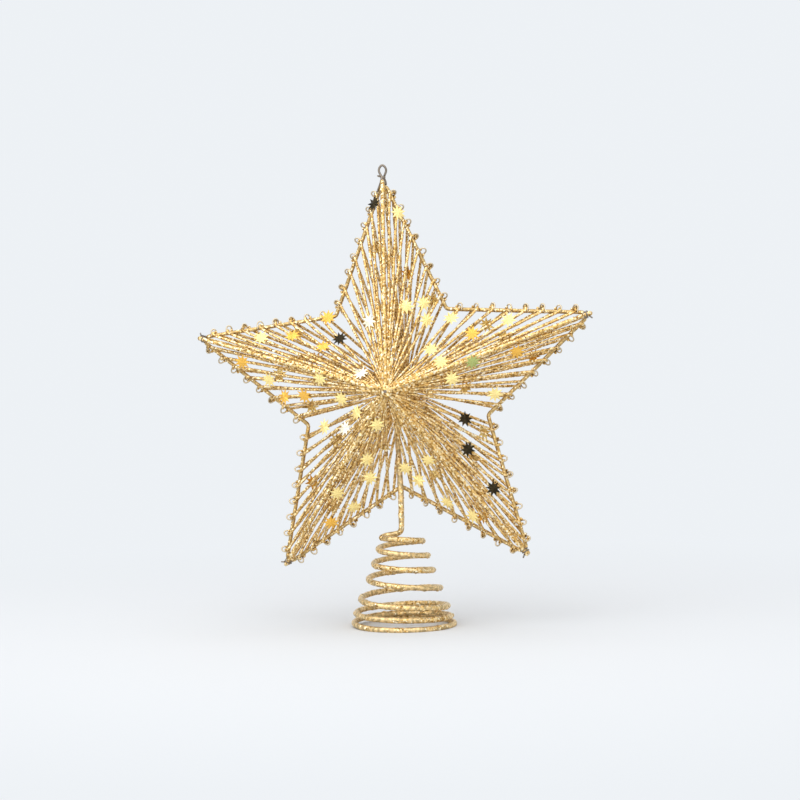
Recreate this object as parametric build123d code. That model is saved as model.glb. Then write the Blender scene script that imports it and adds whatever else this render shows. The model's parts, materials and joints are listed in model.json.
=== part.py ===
from build123d import *
import math
import os

# A wire star for the top of a tree. A bent wire frame carries glittered strands that run
# from its edges to a hub before it and a hub behind it, with a picot of bare wire at each
# strand and foil sequins stuck on the strands. A stem carries the star on a conical coil
# spring, which slips over the leader of the tree or stands by itself.
# Millimetres and degrees. Z is up, the star faces -Y, and the coil stands on Z = 0.

# Star
arm_names = ("top", "right", "lower_right", "lower_left", "left")
star_radius = 105.0  # hub to tip, along the frame's centre line
notch_radius = 48.0  # hub to notch, along the frame's centre line
apex_height = 26.0  # where the strands meet, out from the frame's plane
star_lean = 2.5  # lean of the star on its stem, to its left as seen from the front
seat_gap = 0.1  # between pieces that are wound, glued or pressed together

# Wires, measured over their coat of glitter
wire_sides = 6
frame_wire = 2.0
frame_bend = 2.2  # radius of the frame's bends
rib_wire = 1.9
strand_wire = 1.3
strand_hub_depth = 1.0  # depth of a rib or strand where it is gathered at the hub
strand_fill = 0.85  # share of its sector that a strand may fill
strands_per_edge = 8
strand_first = 7.5  # first strand, from the tip
strand_last = 7.0  # last strand, from the notch

# Picots of bare wire
picot_wire = 0.65
picot_height = 3.6  # out from the frame's surface
picot_spread = 2.2  # front leg to back leg, along the frame
picot_offset = 0.7  # front leg from its strand, along the frame
picot_flats = 3  # flats round the crest

# Hubs and their spindle
spindle_wire = 1.6
spindle_clearance = 0.1
spindle_proud = 0.6  # beyond each hub's crown
hub_sides = 20
hub_radius = 3.6
hub_base_drop = 2.9  # hub's inner face, below the apex
hub_shoulder_drop = 0.2
hub_crown_rise = 1.2
hub_crown_radius = 1.9

# Hanging eye at the top tip
eye_wire = 0.9
eye_height = 7.6  # out from the frame's tip
eye_spread = 2.6  # front leg to back leg, across the tip
eye_leg_drop = 2.4  # how far its legs reach down past the tip

# Foil sequins
sequin_points = 9
sequin_radius = 4.3
sequin_root_radius = 2.5
sequin_thickness = 0.25
sequin_turn = 17.0  # each one is turned further by this

# Stem and coil spring, of one wire
spring_wire = 2.6
stem_length = 22.4  # upright stretch, from the crank to where it takes up the star's lean
stem_bend_drop = 3.0  # where it takes up the lean, below the notch
stem_bend = 40.0
foot_bend = 3.0
hook_reach = 6.9  # from the coil's top end back to the crank's corner
split_gap = 0.3  # between the stem's end and the coil's end
coil_top_radius = 9.5
coil_base_radius = 26.3
coil_pitch = 7.3
coil_top_angle = 225.0  # where the coil leaves the crank, from +X towards +Y
coil_quarters = 27  # the coil's length in quarter turns
coil_flat_turns = 0.58  # part of the lowest turn that lies on the floor
coil_ease_turns = 0.2  # stretch in which the lowest turn takes up the pitch
coil_crown_turns = 0.3  # stretch in which the top turn gives up the pitch
coil_floor_cut = 0.5  # depth of the flat under the lowest turn
least_coil_gap = 0.4

# Sequins as (arm, side, place along the edge from tip to notch, place along the strand from
# frame to hub). Side -1 is the edge before its tip, going round clockwise, and 1 the one after.
front_sequin_shares = (
    (0, -1, 0.14, 0.13),
    (0, -1, 0.57, 0.52),
    (0, 1, 0.14, 0.14),
    (0, 1, 0.57, 0.42),
    (0, 1, 0.86, 0.22),
    (0, 1, 1.00, 0.28),
    (1, -1, 0.29, 0.68),
    (1, -1, 0.43, 0.13),
    (1, -1, 0.57, 0.32),
    (1, -1, 0.86, 0.54),
    (1, -1, 1.00, 0.13),
    (1, 1, 0.00, 0.58),
    (1, 1, 0.14, 0.30),
    (1, 1, 0.43, 0.62),
    (1, 1, 0.86, 0.13),
    (2, -1, 0.29, 0.18),
    (2, -1, 0.57, 0.34),
    (2, -1, 1.00, 0.28),
    (2, 1, 0.29, 0.13),
    (2, 1, 0.43, 0.52),
    (2, 1, 0.57, 0.13),
    (2, 1, 0.86, 0.22),
    (2, 1, 1.00, 0.28),
    (3, -1, 0.14, 0.38),
    (3, -1, 0.29, 0.13),
    (3, -1, 0.57, 0.13),
    (3, -1, 0.57, 0.52),
    (3, -1, 0.57, 0.80),
    (3, -1, 0.71, 0.32),
    (3, 1, 0.71, 0.58),
    (3, 1, 0.86, 0.72),
    (3, 1, 1.00, 0.28),
    (4, -1, 0.14, 0.14),
    (4, -1, 0.14, 0.64),
    (4, -1, 0.43, 0.18),
    (4, -1, 0.71, 0.13),
    (4, -1, 0.71, 0.32),
    (4, -1, 0.86, 0.62),
    (4, 1, 0.29, 0.14),
    (4, 1, 0.57, 0.18),
    (4, 1, 0.71, 0.38),
    (4, 1, 0.71, 0.80),
    (4, 1, 1.00, 0.13),
    (4, 1, 1.00, 0.32),
)
back_sequin_shares = (
    (0, -1, 0.15, 0.20),
    (0, -1, 0.70, 0.45),
    (0, 1, 0.30, 0.30),
    (0, 1, 0.85, 0.15),
    (1, -1, 0.15, 0.35),
    (1, -1, 0.60, 0.20),
    (1, 1, 0.30, 0.15),
    (1, 1, 0.70, 0.50),
    (2, -1, 0.30, 0.40),
    (2, -1, 0.85, 0.15),
    (2, 1, 0.15, 0.15),
    (2, 1, 0.60, 0.35),
    (3, -1, 0.00, 0.30),
    (3, -1, 0.60, 0.60),
    (3, 1, 0.45, 0.15),
    (3, 1, 0.70, 0.35),
    (4, -1, 0.30, 0.25),
    (4, -1, 0.85, 0.20),
    (4, 1, 0.15, 0.50),
    (4, 1, 0.60, 0.15),
)


def equal_area_radius(diameter, sides):
    """Corner radius of the polygon that has the area of a round wire."""
    return diameter / 2 * math.sqrt(2 * math.pi / (sides * math.sin(2 * math.pi / sides)))


def polar(radius, degrees):
    """Point of the star's plane at a distance and bearing from the hub."""
    return Vector(radius * math.cos(math.radians(degrees)), radius * math.sin(math.radians(degrees)))


def wire_section(plane, diameter):
    """Polygon across a wire, with a corner towards the plane's X."""
    return plane * RegularPolygon(equal_area_radius(diameter, wire_sides), wire_sides)


def swept_wire(path, across, diameter):
    """Wire of one diameter along a path, with a corner of its section towards `across`."""
    start = Plane(origin=path @ 0, x_dir=across, z_dir=path % 0)
    return sweep(wire_section(start, diameter), path=path)


frame_half = equal_area_radius(frame_wire, wire_sides)
spring_half = equal_area_radius(spring_wire, wire_sides)
arm_step = 360 / len(arm_names)
tip_bearings = [90 - arm_step * arm for arm in range(len(arm_names))]

coil_turns = coil_quarters / 4
coil_axis_floor = spring_half - coil_floor_cut
crown_start = coil_turns - coil_crown_turns


def coil_height(turns):
    """Height of the coil's wire, that many turns up from its free end."""
    rise_start = coil_flat_turns
    rise_end = coil_flat_turns + coil_ease_turns
    eased = min(max(turns - rise_start, 0), coil_ease_turns)
    steady = min(max(turns - rise_end, 0), crown_start - rise_end)
    crowned = max(turns - crown_start, 0)
    climb = eased**2 / (2 * coil_ease_turns) + steady + crowned - crowned**2 / (2 * coil_crown_turns)
    return coil_axis_floor + coil_pitch * climb


# The star is laid out in its own plane, X to its right, Y to its top and Z to its front.
star_setback = frame_half + spring_half + seat_gap
stem_bend_reach = notch_radius + stem_bend_drop
lean_sine = math.sin(math.radians(star_lean))
lean_cosine = math.cos(math.radians(star_lean))
hub_height = coil_height(coil_turns) + stem_length + stem_bend_reach * lean_cosine
star_plane = Plane(
    origin=(-stem_bend_reach * lean_sine, star_setback, hub_height),
    x_dir=(lean_cosine, 0, lean_sine),
    z_dir=(0, -1, 0),
)


def edge_line(arm, side):
    """Tip, direction to the notch and length of one edge of the frame."""
    tip = polar(star_radius, tip_bearings[arm])
    run = polar(notch_radius, tip_bearings[arm] - side * arm_step / 2) - tip
    return tip, run.normalized(), run.length


def edge_places(length):
    """Distances of the strands from the tip along an edge."""
    step = (length - strand_first - strand_last) / (strands_per_edge - 1)
    return [strand_first + step * number for number in range(strands_per_edge)]


def bearing(point):
    """Direction of a point from the hub, in radians."""
    return math.atan2(point.Y, point.X)


def strand_starts(shift):
    """Outer ends of the strands of one face of the star, by arm, side and number."""
    starts = {}
    for arm in range(len(arm_names)):
        for side in (-1, 1):
            tip, along, length = edge_line(arm, side)
            for number, place in enumerate(edge_places(length)):
                starts[arm, side, number] = tip + along * (place + shift)
    return starts


def sector_of(point, neighbours):
    """Angle to the nearest neighbour, as seen from the hub."""
    turns = [abs(math.remainder(bearing(point) - bearing(other), math.tau)) for other in neighbours]
    return min(turn for turn in turns if turn > 0)


def strand_section(origin, across, along, width, depth):
    """Six-sided section of a strand, its width along `across`."""
    plane = Plane(origin=origin, x_dir=across, z_dir=along)
    corners = [(width / 2, 0), (width / 4, depth / 2), (-width / 4, depth / 2)]
    corners += [(-x, -y) for x, y in corners]
    return plane * Polygon(*corners)


def strand_axis(start, diameter):
    """Outer and inner end of a wire's axis on the front face, from its place on the frame."""
    outer = start + Vector(0, 0, frame_half + diameter / 2 + seat_gap)
    inward = Vector(0, 0, apex_height) - outer
    reach = Vector(outer.X, outer.Y).length
    end_tilt = inward.Z / inward.length
    seat = hub_radius + seat_gap + strand_hub_depth / 2 * end_tilt
    return outer, outer + inward * (1 - seat / reach)


def strand(start, diameter, sector):
    """Wire from the frame to the front hub, gathered into its sector at the hub."""
    outer, inner = strand_axis(start, diameter)
    along = (inner - outer).normalized()
    across = along.cross(Vector(0, 0, 1)).normalized()
    hub_width = min(diameter, strand_fill * sector * Vector(inner.X, inner.Y).length)
    sections = [
        strand_section(outer, across, along, diameter, diameter),
        strand_section(inner, across, along, hub_width, min(diameter, strand_hub_depth)),
    ]
    return loft(sections, ruled=True)


def star_face(shift):
    """Ribs and strands of the front face, as one rib and a list of strands for each arm."""
    starts = strand_starts(shift)
    tips = [polar(star_radius, angle) for angle in tip_bearings]
    everyone = list(starts.values()) + tips
    ribs = [strand(tip, rib_wire, sector_of(tip, everyone)) for tip in tips]
    strands = [[] for _ in arm_names]
    for (arm, _, _), start in starts.items():
        strands[arm].append(strand(start, strand_wire, sector_of(start, everyone)))
    return ribs, strands


def star_frame():
    """Frame wire, bent at every tip and notch, from the middle of one edge round to it again."""
    corners = []
    for angle in tip_bearings:
        corners.append(polar(star_radius, angle))
        corners.append(polar(notch_radius, angle - arm_step / 2))
    path = FilletPolyline(*corners, radius=frame_bend, close=True)
    return swept_wire(path, Vector(0, 0, 1), frame_wire)


def picot():
    """Bare wire hooked round the frame, X along the frame, Y outwards and Z to the front."""
    leg_depth = frame_half + seat_gap + picot_wire / 2
    half_spread = picot_spread / 2
    crest_radius = math.hypot(leg_depth, half_spread)
    leg_end = frame_half + picot_height - picot_wire / 2 - crest_radius
    points = [(-half_spread, 0, leg_depth)]
    for flat in range(picot_flats + 1):
        angle = math.pi * flat / picot_flats
        turn = math.cos(angle)
        points.append((-half_spread * turn, leg_end + crest_radius * math.sin(angle), leg_depth * turn))
    points.append((half_spread, 0, -leg_depth))
    path = Polyline(*points)
    start = Plane(origin=points[0], x_dir=(leg_depth, 0, half_spread), z_dir=(0, 1, 0))
    return sweep(start * Rectangle(picot_wire, picot_wire), path=path, transition=Transition.RIGHT)


def picots():
    """Picots of each arm, hooked on beside their strands."""
    hook = picot()
    arms = [[] for _ in arm_names]
    for (arm, side, _), start in strand_starts(picot_spread / 2 - picot_offset).items():
        along = edge_line(arm, side)[1]
        out = Vector(along.Y, -along.X) * -side
        place = Plane(origin=start, x_dir=along * -side, z_dir=(0, 0, 1))
        if place.y_dir.dot(out) < 0:
            place = Plane(origin=start, x_dir=along * side, z_dir=(0, 0, 1))
        arms[arm].append(place * hook)
    return arms


def hub():
    """Faceted button that gathers the inner ends of one face's strands, bored for the spindle."""
    levels = (
        (apex_height - hub_base_drop, hub_radius),
        (apex_height - hub_shoulder_drop, hub_radius),
        (apex_height + hub_crown_rise, hub_crown_radius),
    )
    button = loft([Pos(0, 0, level) * RegularPolygon(radius, hub_sides) for level, radius in levels], ruled=True)
    bore = Cylinder(spindle_wire / 2 + spindle_clearance, 4 * apex_height)
    return button - bore


def spindle():
    """Bare wire through both hubs, whose ends show as dots."""
    half_length = apex_height + hub_crown_rise + spindle_proud
    return Cylinder(spindle_wire / 2, 2 * half_length)


def hanging_eye():
    """Eye of bare wire that straddles the frame at the top tip."""
    leg_depth = frame_half + seat_gap + eye_wire / 2
    half_spread = eye_spread / 2
    crest_radius = math.hypot(leg_depth, half_spread)
    crest = star_radius + frame_half + eye_height - eye_wire / 2
    leg = star_radius - eye_leg_drop
    first_leg = Line((-half_spread, leg, leg_depth), (-half_spread, crest - crest_radius, leg_depth))
    bow = ThreePointArc(first_leg @ 1, (0, crest, 0), (half_spread, crest - crest_radius, -leg_depth))
    second_leg = Line(bow @ 1, (half_spread, leg, -leg_depth))
    return swept_wire(first_leg + bow + second_leg, Vector(1, 0, 0), eye_wire)


def sequin():
    """Foil starburst, lying on XY."""
    corners = []
    for corner in range(2 * sequin_points):
        radius = sequin_root_radius if corner % 2 else sequin_radius
        corner_point = polar(radius, 180 * corner / sequin_points)
        corners.append((corner_point.X, corner_point.Y))
    return extrude(Polygon(*corners), sequin_thickness)


def sequins(spots, shift):
    """Sequins of each arm, stuck flat on the strands of the front face."""
    foil = sequin()
    sequin_seat = max(strand_wire, rib_wire) / 2 + seat_gap
    starts = strand_starts(shift)
    arms = [[] for _ in arm_names]
    for count, (arm, side, edge_share, strand_share) in enumerate(spots):
        number = round(edge_share * (strands_per_edge - 1))
        outer, inner = strand_axis(starts[arm, side, number], strand_wire)
        edge = edge_line(arm, side)[1]
        lean = edge.cross(inner - outer).normalized()
        face = lean if lean.Z > 0 else -lean
        spot = outer + (inner - outer) * strand_share + face * sequin_seat
        flat = Plane(origin=spot, x_dir=edge, z_dir=face)
        arms[arm].append(flat * Rot(0, 0, sequin_turn * count) * foil)
    return arms


def biarc(start, start_heading, end, end_heading):
    """Two tangent arcs from one point and heading to another, with their radii."""
    chord = end - start
    both = start_heading + end_heading
    spare = 2 * (1 - start_heading.dot(end_heading))
    reach = (math.sqrt(chord.dot(both) ** 2 + spare * chord.dot(chord)) - chord.dot(both)) / spare
    middle = (start + end + (start_heading - end_heading) * reach) / 2
    middle_heading = (end - end_heading * reach - start - start_heading * reach).normalized()
    arcs = []
    radii = []
    for near, heading, far in ((start, start_heading, middle), (middle, middle_heading, end)):
        arcs.append(Edge.make_tangent_arc(near, heading, far))
        radii.append((far - near).length / (2 * math.sin(math.radians(heading.get_angle(far - near)))))
    return arcs, radii


def coil_point(turns):
    """Point of the coil's wire, that many turns up from its free end."""
    radius = coil_base_radius + (coil_top_radius - coil_base_radius) * turns / coil_turns
    angle = math.radians(coil_top_angle) + math.tau * (coil_turns - turns)
    return Vector(radius * math.cos(angle), radius * math.sin(angle), coil_height(turns))


def coil_heading(turns):
    """Direction of the coil's wire, going up."""
    step = 1e-4
    return (coil_point(turns + step) - coil_point(turns - step)).normalized()


def coil_top_heading():
    """Level direction in which the coil's wire runs into the crank."""
    angle = math.radians(coil_top_angle)
    return Vector(math.sin(angle), -math.cos(angle))


def coil_spring():
    """Conical coil of one unbroken wire, cut flat underneath, with a straight top end."""
    edges = []
    radii = []
    headings = [coil_heading(quarter / 4) for quarter in range(coil_quarters)] + [coil_top_heading()]
    for quarter in range(coil_quarters):
        start = coil_point(quarter / 4)
        end = coil_point((quarter + 1) / 4)
        arcs, arc_radii = biarc(start, headings[quarter], end, headings[quarter + 1])
        edges += arcs
        radii += arc_radii
    top = coil_point(coil_turns)
    edges.append(Edge.make_line(top, top + headings[-1] * spring_wire))
    path = Wire(edges)
    print(f"coil bends from {min(radii):.2f} to {max(radii):.2f} mm, wire {spring_wire} mm")
    tube = swept_wire(path, Vector(0, 0, 1), spring_wire)
    print(f"coil volume {tube.volume:.1f}, section by length {math.pi * spring_wire**2 / 4 * path.length:.1f} mm3")
    size = 4 * coil_base_radius
    floor = Location((0, 0, -size / 2)) * Box(size, size, size)
    return tube - floor


def coil_self_gap():
    """Least gap between the coil's turns, on points along its wire."""
    steps_per_turn = 48
    points = [coil_point(step / steps_per_turn) for step in range(round(coil_turns * steps_per_turn) + 1)]
    apart = steps_per_turn // 2
    gaps = []
    for index, point in enumerate(points):
        gaps += [(point - other).length for other in points[index + apart:]]
    return min(gaps) - 2 * spring_half


def stem():
    """Stem from under the spindle, past the front of the bottom notch and down to the crank."""
    heading = coil_top_heading()
    end = coil_point(coil_turns) + heading * (spring_wire + split_gap)
    corner = end + heading * hook_reach
    foot = Vector(0, 0, end.Z)
    top = star_plane.from_local_coords(Vector(0, -spindle_wire / 2 - seat_gap, star_setback))
    knee = star_plane.from_local_coords(Vector(0, -stem_bend_reach, star_setback))
    hook_turn = math.radians((corner - foot).get_angle(end - corner))
    hook_bend = hook_reach / math.tan(hook_turn / 2)
    print(f"crank bend {hook_bend:.2f} mm, wire {spring_wire} mm")
    path = FilletPolyline(top, knee, foot, corner, end - heading * split_gap,
                          radius=[stem_bend, foot_bend, hook_bend])
    return swept_wire(path, Vector(1, 0, 0), spring_wire)


def write_node(name, pieces):
    """Write one node's pieces, each a separate solid."""
    solids = [solid for piece in pieces for solid in piece.solids()]
    export_step(Compound(children=solids) if len(solids) > 1 else solids[0], f"parts/{name}.step")


def on_star(pieces):
    """Pieces moved from the star's own plane to their place."""
    return [star_plane * piece for piece in pieces]


def turned_back(pieces):
    """Pieces of the front face, mirrored to the back face."""
    return [mirror(piece, Plane.XY) for piece in pieces]


os.makedirs("parts", exist_ok=True)

print(f"least gap of the coil to itself {coil_self_gap():.2f} mm, over {least_coil_gap} mm")
write_node("coil_spring", [coil_spring()])
write_node("stem", [stem()])
write_node("star_frame", on_star([star_frame()]))
write_node("hub_spindle", on_star([spindle()]))
write_node("front_hub", on_star([hub()]))
write_node("back_hub", on_star(turned_back([hub()])))
write_node("hanging_eye", on_star([hanging_eye()]))

front_ribs, front_strands = star_face(0)
back_ribs, back_strands = star_face(picot_spread)
front_foil = sequins(front_sequin_shares, 0)
back_foil = sequins(back_sequin_shares, picot_spread)
arm_picots = picots()
for arm, name in enumerate(arm_names):
    write_node(f"front_rib_{name}", on_star([front_ribs[arm]]))
    write_node(f"back_rib_{name}", on_star(turned_back([back_ribs[arm]])))
    write_node(f"front_strands_{name}", on_star(front_strands[arm]))
    write_node(f"back_strands_{name}", on_star(turned_back(back_strands[arm])))
    write_node(f"picots_{name}", on_star(arm_picots[arm]))
    if front_foil[arm]:
        write_node(f"front_sequins_{name}", on_star(front_foil[arm]))
    if back_foil[arm]:
        write_node(f"back_sequins_{name}", on_star(turned_back(back_foil[arm])))
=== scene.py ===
"""Gold wire star for the top of a tree: glittered strands, foil sequins and a conical coil spring."""

from __future__ import annotations

import json
import logging
import math
import random
from dataclasses import dataclass
from enum import Enum

import bmesh
import bpy
from mathutils import Matrix, Quaternion, Vector, noise

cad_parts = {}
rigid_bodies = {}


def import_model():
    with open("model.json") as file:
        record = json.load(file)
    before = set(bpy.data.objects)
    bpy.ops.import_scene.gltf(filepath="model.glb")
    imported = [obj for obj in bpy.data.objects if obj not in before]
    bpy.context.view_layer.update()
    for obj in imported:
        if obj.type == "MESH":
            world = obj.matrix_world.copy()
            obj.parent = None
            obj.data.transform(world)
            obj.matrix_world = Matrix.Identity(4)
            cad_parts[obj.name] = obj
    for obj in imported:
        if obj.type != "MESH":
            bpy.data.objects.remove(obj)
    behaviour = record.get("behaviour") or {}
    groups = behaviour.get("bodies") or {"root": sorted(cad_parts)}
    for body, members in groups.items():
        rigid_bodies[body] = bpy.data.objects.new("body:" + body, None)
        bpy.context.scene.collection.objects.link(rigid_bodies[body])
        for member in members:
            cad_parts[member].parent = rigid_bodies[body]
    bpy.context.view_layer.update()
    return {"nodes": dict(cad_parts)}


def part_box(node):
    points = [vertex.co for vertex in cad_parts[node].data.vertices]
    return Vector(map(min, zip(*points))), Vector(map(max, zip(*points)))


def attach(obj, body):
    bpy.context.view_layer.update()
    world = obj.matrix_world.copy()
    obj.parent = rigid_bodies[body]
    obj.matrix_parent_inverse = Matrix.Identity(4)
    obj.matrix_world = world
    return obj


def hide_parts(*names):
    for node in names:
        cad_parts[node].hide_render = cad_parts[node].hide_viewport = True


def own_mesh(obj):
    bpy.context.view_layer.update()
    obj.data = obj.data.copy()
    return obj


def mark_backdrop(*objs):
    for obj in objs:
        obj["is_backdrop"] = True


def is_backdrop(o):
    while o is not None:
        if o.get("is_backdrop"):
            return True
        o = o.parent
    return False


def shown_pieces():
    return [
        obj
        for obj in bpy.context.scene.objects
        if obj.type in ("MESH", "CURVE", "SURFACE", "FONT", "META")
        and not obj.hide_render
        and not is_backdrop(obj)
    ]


LOG = logging.getLogger("star")
MM = 0.001
ARMS = ("top", "right", "lower_right", "lower_left", "left")
SIDES = (-1, 1)
TO_FRONT = Vector((0, 0, 1))
# Degrees from one corner of the outline to the next.
CORNER_STEP = 36
LEAST_POINTS = 3
SAME_POINT = 1e-6
WELD = 0.02 * MM
BLACK = (0.0, 0.0, 0.0)
WHITE = (1.0, 1.0, 1.0)
CELL_MIDDLE = (0.5, 0.5, 0.5)
FOIL_ROUGH = 0.22
FOIL_MOTTLE = 2 * MM
FOIL_METALLIC = 0.4
DARK_FOIL_METALLIC = 1.0

Span = tuple[float, float]
Offset = tuple[float, float, float]
Colour = tuple[float, float, float]
Stops = tuple[tuple[float, Colour], ...]
Line = list[Vector]
Inputs = dict[str, object]
Socket = bpy.types.NodeSocket
Material = bpy.types.Material
Item = bpy.types.Object
Mesh = bmesh.types.BMesh


class Face(Enum):
    """Side of the star, with the sign of its Z in the star's plane."""

    FRONT = 1
    BACK = -1

    @property
    def word(self) -> str:
        """Name of the face as the nodes spell it."""
        return self.name.lower()


class Foil(Enum):
    """Tones of the sequins, with their colour."""

    PALE = (1.0, 0.80, 0.32)
    WHITE = (1.0, 0.94, 0.74)
    # WHITE is a painted glint: near-white foil for the few sequins that catch the light.
    ORANGE = (0.92, 0.52, 0.08)
    BRONZE = (0.035, 0.027, 0.014)
    GREEN = (0.46, 0.52, 0.17)

    def material(self) -> Material:
        """Build the tone's material."""
        metallic = DARK_FOIL_METALLIC if self is Foil.BRONZE else FOIL_METALLIC
        return Metal(f"foil_{self.name.lower()}", self.value, FOIL_ROUGH, FOIL_MOTTLE, metallic).material()


FOIL_LETTERS = {"P": Foil.PALE, "W": Foil.WHITE, "O": Foil.ORANGE, "K": Foil.BRONZE, "G": Foil.GREEN}
FRONT_TONES = {
    "top": "KWPPPP",
    "right": "PPOPPGOPP",
    "lower_right": "KKKPPPPP",
    "lower_left": "POPPPPWPP",
    "left": "OPPOOPPOOWOK",
}
BACK_TONES = "PPOP"
# Front sequins stuck on the frame itself: the side of their arm and the way along its edge from the tip.
FRAME_SEATS = {("top", 0): (-1, 12.5 * MM), ("top", 2): (1, 18.5 * MM), ("left", 10): (1, 68.5 * MM)}


class Nodes:
    """A node tree, with short calls to fill it."""

    def __init__(self, owner: Material | bpy.types.World) -> None:
        """Start with an empty tree.

        Args:
            owner: Material or world that has the tree.
        """
        owner.use_nodes = True
        self.tree = owner.node_tree
        self.tree.nodes.clear()

    @staticmethod
    def find(sockets: bpy.types.NodeInputs | bpy.types.NodeOutputs, key: str) -> Socket:
        """First socket of that name or identifier."""
        return next(socket for socket in sockets if key in (socket.name, socket.identifier))

    def add(self, kind: str, inputs: Inputs | None = None, **settings: str) -> bpy.types.NodeOutputs:
        """Add a node and fill its inputs.

        Args:
            kind: Node type, without its ShaderNode prefix.
            inputs: Source socket or plain value of inputs, by their name or identifier.
            settings: Properties of the node.

        Returns:
            The node's outputs.
        """
        node = self.tree.nodes.new("ShaderNode" + kind)
        for name, value in settings.items():
            setattr(node, name, value)
        for key, value in (inputs or {}).items():
            socket = self.find(node.inputs, key)
            if isinstance(value, Socket):
                self.tree.links.new(value, socket)
            else:
                socket.default_value = value
        return node.outputs

    def ramp(self, source: Socket, stops: Stops, steps: bool = False) -> Socket:
        """Add a colour ramp.

        Args:
            source: Socket that drives the ramp.
            stops: Position and colour of each stop, in order.
            steps: True for hard steps between the stops.

        Returns:
            The ramp's colour.
        """
        colour = self.add("ValToRGB", {"Fac": source})["Color"]
        band = colour.node.color_ramp
        band.interpolation = "CONSTANT" if steps else "LINEAR"
        while len(band.elements) < len(stops):
            band.elements.new(0.5)
        for element, (position, tone) in zip(band.elements, stops):
            element.position = position
            element.color = (*tone, 1.0)
        return colour

    def spread(self, source: Socket, ins: Span = (0, 1), outs: Span = (0, 1), **settings: str) -> Socket:
        """Carry a value from one range to another.

        Args:
            source: Socket with the value.
            ins: Range that it comes from.
            outs: Range that it goes to.
            settings: Properties of the node.

        Returns:
            Socket with the new value.
        """
        ends = {"From Min": ins[0], "From Max": ins[1], "To Min": outs[0], "To Max": outs[1]}
        return self.add("MapRange", {"Value": source, **ends}, **settings)["Result"]

    def noise(self, size: float) -> Socket:
        """Noise on Object coordinates, with patches of that size in metres."""
        place = self.add("TexCoord")["Object"]
        return self.add("TexNoise", {"Vector": place, "Scale": 1 / size})["Fac"]

    def vector(self, operation: str, *values: Socket | Offset) -> Socket:
        """Result of vector maths on sockets or plain vectors."""
        keys = ("Vector", "Vector_001", "Vector_002")
        return self.add("VectorMath", dict(zip(keys, values)), operation=operation)["Vector"]

    def mix(self, share: Socket, first: Socket, second: Socket) -> Socket:
        """Mix of two shaders, by the share of the second."""
        return self.add("MixShader", {"Fac": share, "Shader": first, "Shader_001": second})["Shader"]


@dataclass(frozen=True)
class Glitter:
    """Gold coat in which a share of small cells are loose flakes, each tilted its own way and tinted from a
    palette that holds painted glints and painted shade.
    """

    name: str
    ground: Colour
    flakes: Stops
    cell: float
    share: float
    tilt: float
    roughness: float
    metallic: float = 0.85
    patch: float = 0.0
    patch_size: float = 14 * MM
    patch_span: Span = (0.3, 0.7)
    mottle: float = 0.25
    mottle_lift: float = 0.5
    mottle_size: float = 1.6 * MM
    mottle_span: Span = (0.38, 0.62)

    def material(self) -> Material:
        """Build the coat's material.

        Returns:
            A material on Object coordinates.
        """
        material = bpy.data.materials.new(self.name)
        nodes = Nodes(material)
        place = nodes.add("TexCoord")["Object"]
        cells = nodes.add("TexVoronoi", {"Vector": place, "Scale": 1 / self.cell}, feature="F1")["Color"]
        split = nodes.add("SeparateColor", {"Color": cells})
        thick = nodes.spread(nodes.noise(self.patch_size), self.patch_span, (-self.patch, self.patch))
        chosen = nodes.add("Math", {"Value": split["Blue"], "Value_001": thick}, operation="ADD")["Value"]
        is_flake = nodes.ramp(chosen, ((0.0, BLACK), (1 - self.share, WHITE)), steps=True)
        dark = tuple(channel * (1 - self.mottle) for channel in self.ground)
        light = tuple(min(1.0, channel * (1 + self.mottle * self.mottle_lift)) for channel in self.ground)
        under = nodes.ramp(nodes.noise(self.mottle_size), tuple(zip(self.mottle_span, (dark, light))))
        tones = {"A_Color": under, "B_Color": nodes.ramp(split["Red"], self.flakes), "Factor_Float": is_flake}
        lean = nodes.vector("MULTIPLY", nodes.vector("SUBTRACT", cells, CELL_MIDDLE), is_flake)
        tilt = (self.tilt, self.tilt, self.tilt)
        turned = nodes.vector("MULTIPLY_ADD", lean, tilt, nodes.add("NewGeometry")["Normal"])
        look = {
            "Base Color": nodes.find(nodes.add("Mix", tones, data_type="RGBA"), "Result_Color"),
            "Metallic": self.metallic,
            "Roughness": self.roughness,
            "Normal": nodes.vector("NORMALIZE", turned),
        }
        nodes.add("OutputMaterial", {"Surface": nodes.add("BsdfPrincipled", look)["BSDF"]})
        return material


@dataclass(frozen=True)
class Metal:
    """Plain metal of one colour, with a fine mottle in its roughness."""

    name: str
    colour: Colour
    roughness: float
    mottle: float
    metallic: float = 1.0
    spread: float = 0.5

    def material(self) -> Material:
        """Build the metal's material.

        Returns:
            A material on Object coordinates.
        """
        material = bpy.data.materials.new(self.name)
        nodes = Nodes(material)
        rough = (self.roughness * (1 - self.spread), self.roughness * (1 + self.spread))
        look = {
            "Base Color": (*self.colour, 1.0),
            "Metallic": self.metallic,
            "Roughness": nodes.spread(nodes.noise(self.mottle), outs=rough),
        }
        nodes.add("OutputMaterial", {"Surface": nodes.add("BsdfPrincipled", look)["BSDF"]})
        return material


# Flake tones from dark brown to near-white gold, given at random per flake: partly the flakes' own spread of
# tone, partly painted glints for flakes that catch the light and painted shade for flakes turned away from
# it.
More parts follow.
